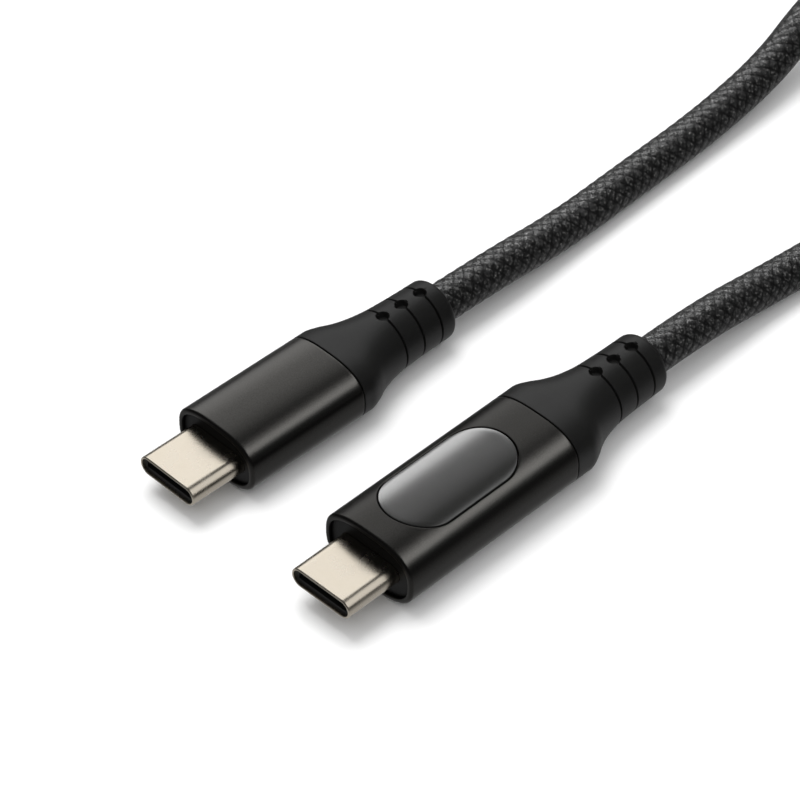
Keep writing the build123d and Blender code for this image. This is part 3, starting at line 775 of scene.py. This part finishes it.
def make_display_sleeve(plug):
    """The longer sleeve, with its window opening joined smoothly into the grid round it."""
    path = sleeve_path(plug)
    rings = [(x, body_ring(plug, inset, BODY_COUNT)) for x, inset in path]
    points = stack(rings)
    reach = WINDOW_LENGTH / 2 + PATCH_MARGIN
    top_right = rings[10][1][: BODY_COUNT // 4, 0]
    half_columns = int(np.argmin(np.abs(top_right - PATCH_HALF_WIDTH)))
    columns = [k % BODY_COUNT for k in range(-half_columns, half_columns + 1)]
    radius = WINDOW_WIDTH / 2
    patches = []
    holes = set()
    for inset in (0.0, WALL):
        rows = [
            k for k, (x, i) in enumerate(path) if i == inset and abs(x - WINDOW_CENTRE) <= reach
        ]
        holes |= {(i, j) for i in rows[:-1] for j in columns[:-1]}
        first, last = rows[0], rows[-1]
        loop = [(first, j) for j in columns]
        loop += [(i, columns[-1]) for i in rows[1:-1]]
        loop += [(last, j) for j in reversed(columns)]
        loop += [(i, columns[0]) for i in reversed(rows[1:-1])]
        patches.append((inset, [i * BODY_COUNT + j for i, j in loop]))
    faces = grid_faces(len(rings), BODY_COUNT, loop_rows=True, skip=lambda i, j: (i, j) in holes)
    opening = []
    for inset, loop in patches:
        outline = points[loop][:, :2]
        spine, out = window_ray(outline)
        hole = spine + out * (radius + OPENING_EDGE)
        # plan points and depth below the surface of each loop, from the grid in to the opening
        steps = [(hole + share * (outline - hole), 0) for share in (0.8, 0.6, 0.4, 0.22, 0.08, 0)]
        if inset == 0.0:
            for s, c in quarter(3)[1:]:
                plan = spine + out * (radius + OPENING_EDGE * (1 - s))
                steps.append((plan, OPENING_EDGE * (1 - c)))
        else:
            steps.append((spine + out * radius, 0))
        for plan, drop in steps:
            inside = list(range(len(points), len(points) + len(loop)))
            height = oval_top(plug, plan[:, 1], inset) - drop
            points = np.vstack([points, np.column_stack([plan, height])])
            faces += join_loops(loop, inside)
            loop = inside
        opening.append(loop)
    outer, inner = opening
    # The two patches' loops run opposite ways round, because the path turns back inside.
    away = np.linalg.norm(points[inner][:, :2] - points[outer[0]][:2], axis=1)
    start = int(np.argmin(away))
    ordered = [inner[start - k] for k in range(len(inner))]
    return finish_sleeve(plug, points, faces + join_loops(outer, ordered))


def make_window(plug):
    """The smoked window, whose top carries on the sleeve's curve."""
    count = 240
    edge = 0.12
    radius = WINDOW_WIDTH / 2 - WINDOW_GAP
    half_spine = (WINDOW_LENGTH - WINDOW_WIDTH) / 2
    outline = even_ring(slot_outline(2 * (half_spine + radius), 2 * radius), count)
    outline[:, 0] += WINDOW_CENTRE
    spine, out = window_ray(outline)
    rings = []

    def add(reach, drop=0.0, flat=None):
        plan = spine + out * reach
        height = oval_top(plug, plan[:, 1]) - drop if flat is None else np.full(count, flat)
        rings.append(np.column_stack([plan, height]))

    add(0.02, flat=LENS_BOTTOM)
    add(radius, flat=LENS_BOTTOM)
    for s, c in reversed(quarter(5)):
        add(radius - edge * (1 - s), edge * (1 - c))
    for share in (0.85, 0.7, 0.55, 0.4, 0.25, 0.1):
        add(radius * share)
    add(0.02)
    faces = grid_faces(len(rings), count)
    last = (len(rings) - 1) * count
    faces.append(tuple(range(count)))
    faces.append(tuple(range(last + count - 1, last - 1, -1)))
    return finish_piece(
        plug.name + "_window",
        plug.place(np.vstack(rings)),
        faces,
        "smoked_window",
        [plug.name + "_lens"],
    )


def smooth_through(at, places, values):
    """A smooth curve through (place, value) rows, read at the given places."""
    slopes = np.gradient(values, places)
    k = np.clip(np.searchsorted(places, at) - 1, 0, len(places) - 2)
    step = places[k + 1] - places[k]
    t = (at - places[k]) / step
    return (
        values[k] * (1 + 2 * t) * (1 - t) ** 2
        + values[k + 1] * t * t * (3 - 2 * t)
        + step * (slopes[k] * t * (1 - t) ** 2 + slopes[k + 1] * t * t * (t - 1))
    )


def boot_table(plug):
    """Distance from the seam, width, height and superellipse power along the boot."""
    taper = plug.boot - plug.band
    waist = BOOT_END_DIAMETER + 0.55
    low = BOOT_END_DIAMETER + 0.2
    rows = [(at, plug.width, plug.height, OVAL_POWER) for at in (0.0, plug.band - 0.6)]
    # share of the way along the taper, and share of the body's extra width still left there
    fullness = [(0.0, 1.0), (0.09, 0.8), (0.18, 0.5), (0.28, 0.26), (0.42, 0.06)]
    for share, extra in fullness:
        rows.append(
            (
                plug.band + share * taper,
                waist + extra * (plug.width - waist),
                low + extra * (plug.height - low),
                2 + extra * (OVAL_POWER - 2),
            )
        )
    rows.append((plug.boot - 0.35 * taper, BOOT_END_DIAMETER + 0.25, BOOT_END_DIAMETER + 0.1, 2))
    rows.append((plug.boot, BOOT_END_DIAMETER, BOOT_END_DIAMETER, 2))
    return np.array(rows).T


HOLE_STRIP = 0.95  # half the width of the boot's fine strip of mesh over the relief holes
HOLE_STEP = 0.055  # the mesh step across it


def boot_turns():
    """Angles round the boot from its top, closer together where the relief holes are."""
    fine = HOLE_STEP / (BOOT_END_DIAMETER / 2)
    half_hole = HOLE_STRIP / (BOOT_END_DIAMETER / 2)
    near = np.arange(-half_hole, half_hole + fine / 2, fine)
    far = np.linspace(near[-1], pi + near[0], 44)[1:-1]
    return np.concatenate([near, far, near + pi, far + pi])


def spigot_ring(plug, turns):
    """The boot's cross-section inside the sleeve, at the given angles."""
    outline = oval_outline(plug.width - 2 * SPIGOT_INSET, plug.height - 2 * SPIGOT_INSET)
    spigot = even_ring(outline, len(outline))
    angles = np.arctan2(spigot[:, 0], spigot[:, 1]) % (2 * pi)
    order = np.argsort(angles)
    ring = np.column_stack(
        [
            np.interp(turns % (2 * pi), angles[order], spigot[order, k], period=2 * pi)
            for k in (0, 1)
        ]
    )
    ring[:, 1] = np.maximum(ring[:, 1], LAND_DROP - plug.height / 2 + SPIGOT_INSET)
    return ring


def make_boot(plug):
    """The strain relief: band, taper, three flex slits with relief holes, and a rounded end."""
    places, widths, heights, powers = boot_table(plug)
    turns = boot_turns()
    count = len(turns)
    stations = [plug.boot - GROOVE_TO_END - k * GROOVE_PITCH for k in range(3)]
    coarse = np.linspace(SEAM_GAP + 0.06, plug.boot - BOOT_END_FILLET, 70)
    fine = np.concatenate([s + np.arange(-0.7, 0.7001, 0.05) for s in stations])
    distances = np.unique(np.round(np.concatenate([coarse, fine]), 3))
    distances = distances[distances <= plug.boot - BOOT_END_FILLET]

    def section(distance, inset=0.0):
        at = np.array([distance])
        width = smooth_through(at, places, widths)[0] - 2 * inset
        height = smooth_through(at, places, heights)[0] - 2 * inset
        power = max(smooth_through(at, places, powers)[0], 2)
        across = np.sign(np.sin(turns)) * np.abs(np.sin(turns)) ** (2 / power) * width / 2
        up = np.sign(np.cos(turns)) * np.abs(np.cos(turns)) ** (2 / power) * height / 2
        return np.column_stack([across, np.maximum(up, LAND_DROP - plug.height / 2)])

    def relief(distance, ring):
        """Slits and holes cut into one ring."""
        depth = np.zeros(count)
        for station in stations:
            off = abs(distance - station)
            slit = np.clip((GROOVE_SLIT / 2 + 0.04 - off) / 0.08, 0, 1)
            depth = np.maximum(depth, GROOVE_DEPTH * slit * slit * (3 - 2 * slit))
            reach = np.hypot(off, ring[:, 0])
            pit = np.clip((HOLE_RADIUS + 0.05 - reach) / 0.1, 0, 1)
            depth = np.maximum(depth, HOLE_DEPTH * pit * pit * (3 - 2 * pit))
        size = np.hypot(*ring.T)
        return ring * ((size - depth) / size)[:, None]

    def round_ring(radius):
        return np.column_stack([radius * np.sin(turns), radius * np.cos(turns)])

    spigot = spigot_ring(plug, turns)
    seam = plug.seam
    rings = [
        (plug.end, round_ring(CABLE_RADIUS)),
        (seam - CRIMP_END, round_ring(CABLE_RADIUS)),
        (seam - CRIMP_END, round_ring(CRIMP_RADIUS)),
        (seam - SPIGOT_LENGTH, round_ring(CRIMP_RADIUS)),
        (seam - SPIGOT_LENGTH, spigot),
        (seam + SEAM_GAP, spigot),
        (seam + SEAM_GAP, section(0.0, 0.06)),
    ]
    for distance in distances:
        rings.append((seam + distance, relief(distance, section(distance))))
    for s, c in quarter(8)[1:]:
        distance = plug.boot - BOOT_END_FILLET * (1 - s)
        rings.append((seam + distance, section(distance, BOOT_END_FILLET * (1 - c))))
    rings.append((plug.end, round_ring(CABLE_RADIUS + 0.12)))
    faces = grid_faces(len(rings), count, loop_rows=True)
    return finish_piece(
        plug.name + "_strain_relief",
        plug.place(stack(rings)),
        faces,
        "boot_black",
        [plug.name + "_boot"],
    )


# ---------------------------------------------------------------- tie


def make_strap():
    """The hook-and-loop strap: a closed loop round the hank, in the place of its CAD solid."""
    low, high = (np.array(corner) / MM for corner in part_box("cable_tie"))
    middle = (low + high) / 2
    half_length, half_width, half_height = (high - low) / 2
    count = 200
    corner = 3.5
    outline = []
    for k, (side, top) in enumerate(((1, 1), (1, -1), (-1, -1), (-1, 1))):
        for angle in np.linspace(0, pi / 2, 13) + k * pi / 2:
            across = side * (half_width - corner) + corner * sin(angle)
            outline.append((across, top * (half_height - corner) + corner * cos(angle)))
    ring = even_ring(np.array(outline), count)
    ahead = np.roll(ring, -1, axis=0) - np.roll(ring, 1, axis=0)
    outward = np.column_stack([-ahead[:, 1], ahead[:, 0]])
    outward /= np.linalg.norm(outward, axis=1)[:, None]
    edge = 0.2
    # place along the cable and depth from the outside, round the tape's cross-section
    rim = [(-half_length, edge), (-half_length + edge, 0)]
    rim += [(half_length - edge, 0), (half_length, edge)]
    rim += [(x, TIE_THICKNESS - depth) for x, depth in reversed(rim)]
    rings = [(x, ring - outward * depth) for x, depth in rim]
    faces = grid_faces(len(rings), count, loop_rows=True)
    return finish_piece("strap", stack(rings) + middle, faces, "strap_black", ["cable_tie"])


# ---------------------------------------------------------------- object

dress_cad_nodes()
pieces = {}
for plug in (display, plain):
    make_sleeve = make_display_sleeve if plug is display else make_plain_sleeve
    pieces[plug.name] = {
        "shell": make_plug_shell(plug),
        "insert": make_insert(plug),
        "boot": make_boot(plug),
        "sleeve": make_sleeve(plug),
    }
window = make_window(display)
strap = make_strap()
cable, cable_line, cable_length = make_cable()

# the plain plug's CAD nodes that no piece replaces
KEPT_NODES = ("contact_insulator", "contact_stems", "upper_contacts", "lower_contacts")
KEPT_NODES += ("latch_left", "latch_right", "shield_plate", "paddle_board", "id_chip")
KEPT_NODES += ("power_wire", "ground_wire", "signal_wires", "inner_mould")
KEPT_NODES += ("crimp_ring", "cable_tail")
far_end_pieces = list(pieces["plain"].values())
far_end_pieces += [frame["nodes"]["plain_" + name] for name in KEPT_NODES]

# ---------------------------------------------------------------- stage and light

LIT_POINT = Vector((0.0, 0.012, 0.0))  # between the two plugs
FLOOR_HALF = 3.0
BACKDROP = 0.93  # what the camera sees behind the floor
WALL_RADIANCE = 0.07  # what the object reflects at and above the horizon
FLOOR_REFLECTED = 0.38  # and straight below, in place of the floor


def make_floor():
    mesh = bpy.data.meshes.new("floor")
    half = FLOOR_HALF
    corners = [(-half, -half, 0), (half, -half, 0), (half, half, 0), (-half, half, 0)]
    mesh.from_pydata(corners, [], [(0, 1, 2, 3)])
    shader = Shader("floor_white", (0.85, 0.85, 0.85), 0.9, Specular_IOR_Level=0.0)
    mesh.materials.append(shader.material)
    floor = bpy.data.objects.new("floor", mesh)
    floor.visible_glossy = False
    bpy.context.scene.collection.objects.link(floor)
    return floor


def area_light(name, direction, distance, size, radiance, reflected=True, only=()):
    """A soft light in a direction from the object. size is its width and height in metres.

    With only, it is a small card set up for those pieces and lights nothing else.
    """
    data = bpy.data.lights.new(name, "AREA")
    data.shape = "RECTANGLE"
    data.size, data.size_y = size
    data.energy = radiance * pi * size[0] * size[1]
    light = bpy.data.objects.new(name, data)
    toward = Vector(direction).normalized()
    light.location = LIT_POINT + toward * distance
    light.rotation_euler = (-toward).to_track_quat("-Z", "Y").to_euler()
    light.visible_glossy = reflected
    bpy.context.scene.collection.objects.link(light)
    if only:
        receivers = bpy.data.collections.new(name + "_receivers")
        for piece in only:
            receivers.objects.link(piece)
        light.light_linking.receiver_collection = receivers


def make_world():
    """A pale backdrop to look at, which the object reflects as dim walls over a paler floor."""
    world = bpy.data.worlds.new("studio")
    world.use_nodes = True
    bpy.context.scene.world = world
    nodes, links = world.node_tree.nodes, world.node_tree.links
    seen = nodes.new("ShaderNodeBackground")
    seen.inputs["Color"].default_value = (BACKDROP, BACKDROP, BACKDROP, 1)
    fill = nodes["Background"]
    places = nodes.new("ShaderNodeTexCoord")
    height = nodes.new("ShaderNodeSeparateXYZ")
    shade = nodes.new("ShaderNodeValToRGB")
    stops = ((0.0, WALL_RADIANCE), (0.5, FLOOR_REFLECTED))
    for element, (position, radiance) in zip(shade.color_ramp.elements, stops):
        element.position = position
        element.color = (radiance, radiance, radiance, 1)
    below = nodes.new("ShaderNodeMath")
    below.operation = "MULTIPLY"
    below.inputs[1].default_value = -1
    links.new(places.outputs["Generated"], height.inputs[0])
    links.new(height.outputs["Z"], below.inputs[0])
    links.new(below.outputs[0], shade.inputs["Fac"])
    links.new(shade.outputs["Color"], fill.inputs["Color"])
    path = nodes.new("ShaderNodeLightPath")
    mix = nodes.new("ShaderNodeMixShader")
    links.new(path.outputs["Is Camera Ray"], mix.inputs[0])
    links.new(fill.outputs[0], mix.inputs[1])
    links.new(seen.outputs[0], mix.inputs[2])
    links.new(mix.outputs[0], nodes["World Output"].inputs[0])


floor = make_floor()
make_world()
display_sleeve, plain_sleeve = (pieces[name]["sleeve"] for name in ("display", "plain"))
noses = [pieces[name]["shell"] for name in ("display", "plain")]
# the first three light surfaces without being reflected
area_light("overhead", (0.0, 0.0, 1.0), 0.8, (1.6, 1.6), 1.2, reflected=False)
area_light("key", (0.08, 0.30, 0.95), 0.8, (0.42, 0.42), 7.0, reflected=False)
area_light("floor_fill", (0.0, -0.90, 0.42), 0.8, (1.6, 0.5), 1.0, reflected=False, only=[floor])
area_light("back_softbox", (0.518, 0.60, 0.61), 0.6, (0.55, 0.46), 1.05)
area_light("rim_card", (0.518, 0.745, 0.42), 0.7, (0.55, 0.30), 8.5, only=[window])
area_light("sleeve_card", (0.518, 0.74, 0.43), 0.6, (0.55, 0.30), 1.6, only=[plain_sleeve])
area_light("edge_card", (0.518, 0.76, 0.39), 0.6, (0.55, 0.22), 0.5, only=[display_sleeve])
side_lit = [display_sleeve, plain_sleeve, window]
area_light("side_card", (0.518, -0.417, 0.747), 0.6, (0.5, 0.2), 4.6, only=side_lit)
area_light("nose_card", (0.518, -0.541, 0.664), 0.6, (0.55, 0.50), 0.7, only=noses)
area_light("braid_card", (0.518, 0.57, 0.638), 0.6, (0.6, 0.06), 15.0, only=[cable])
bpy.context.scene.view_settings.view_transform = "Standard"
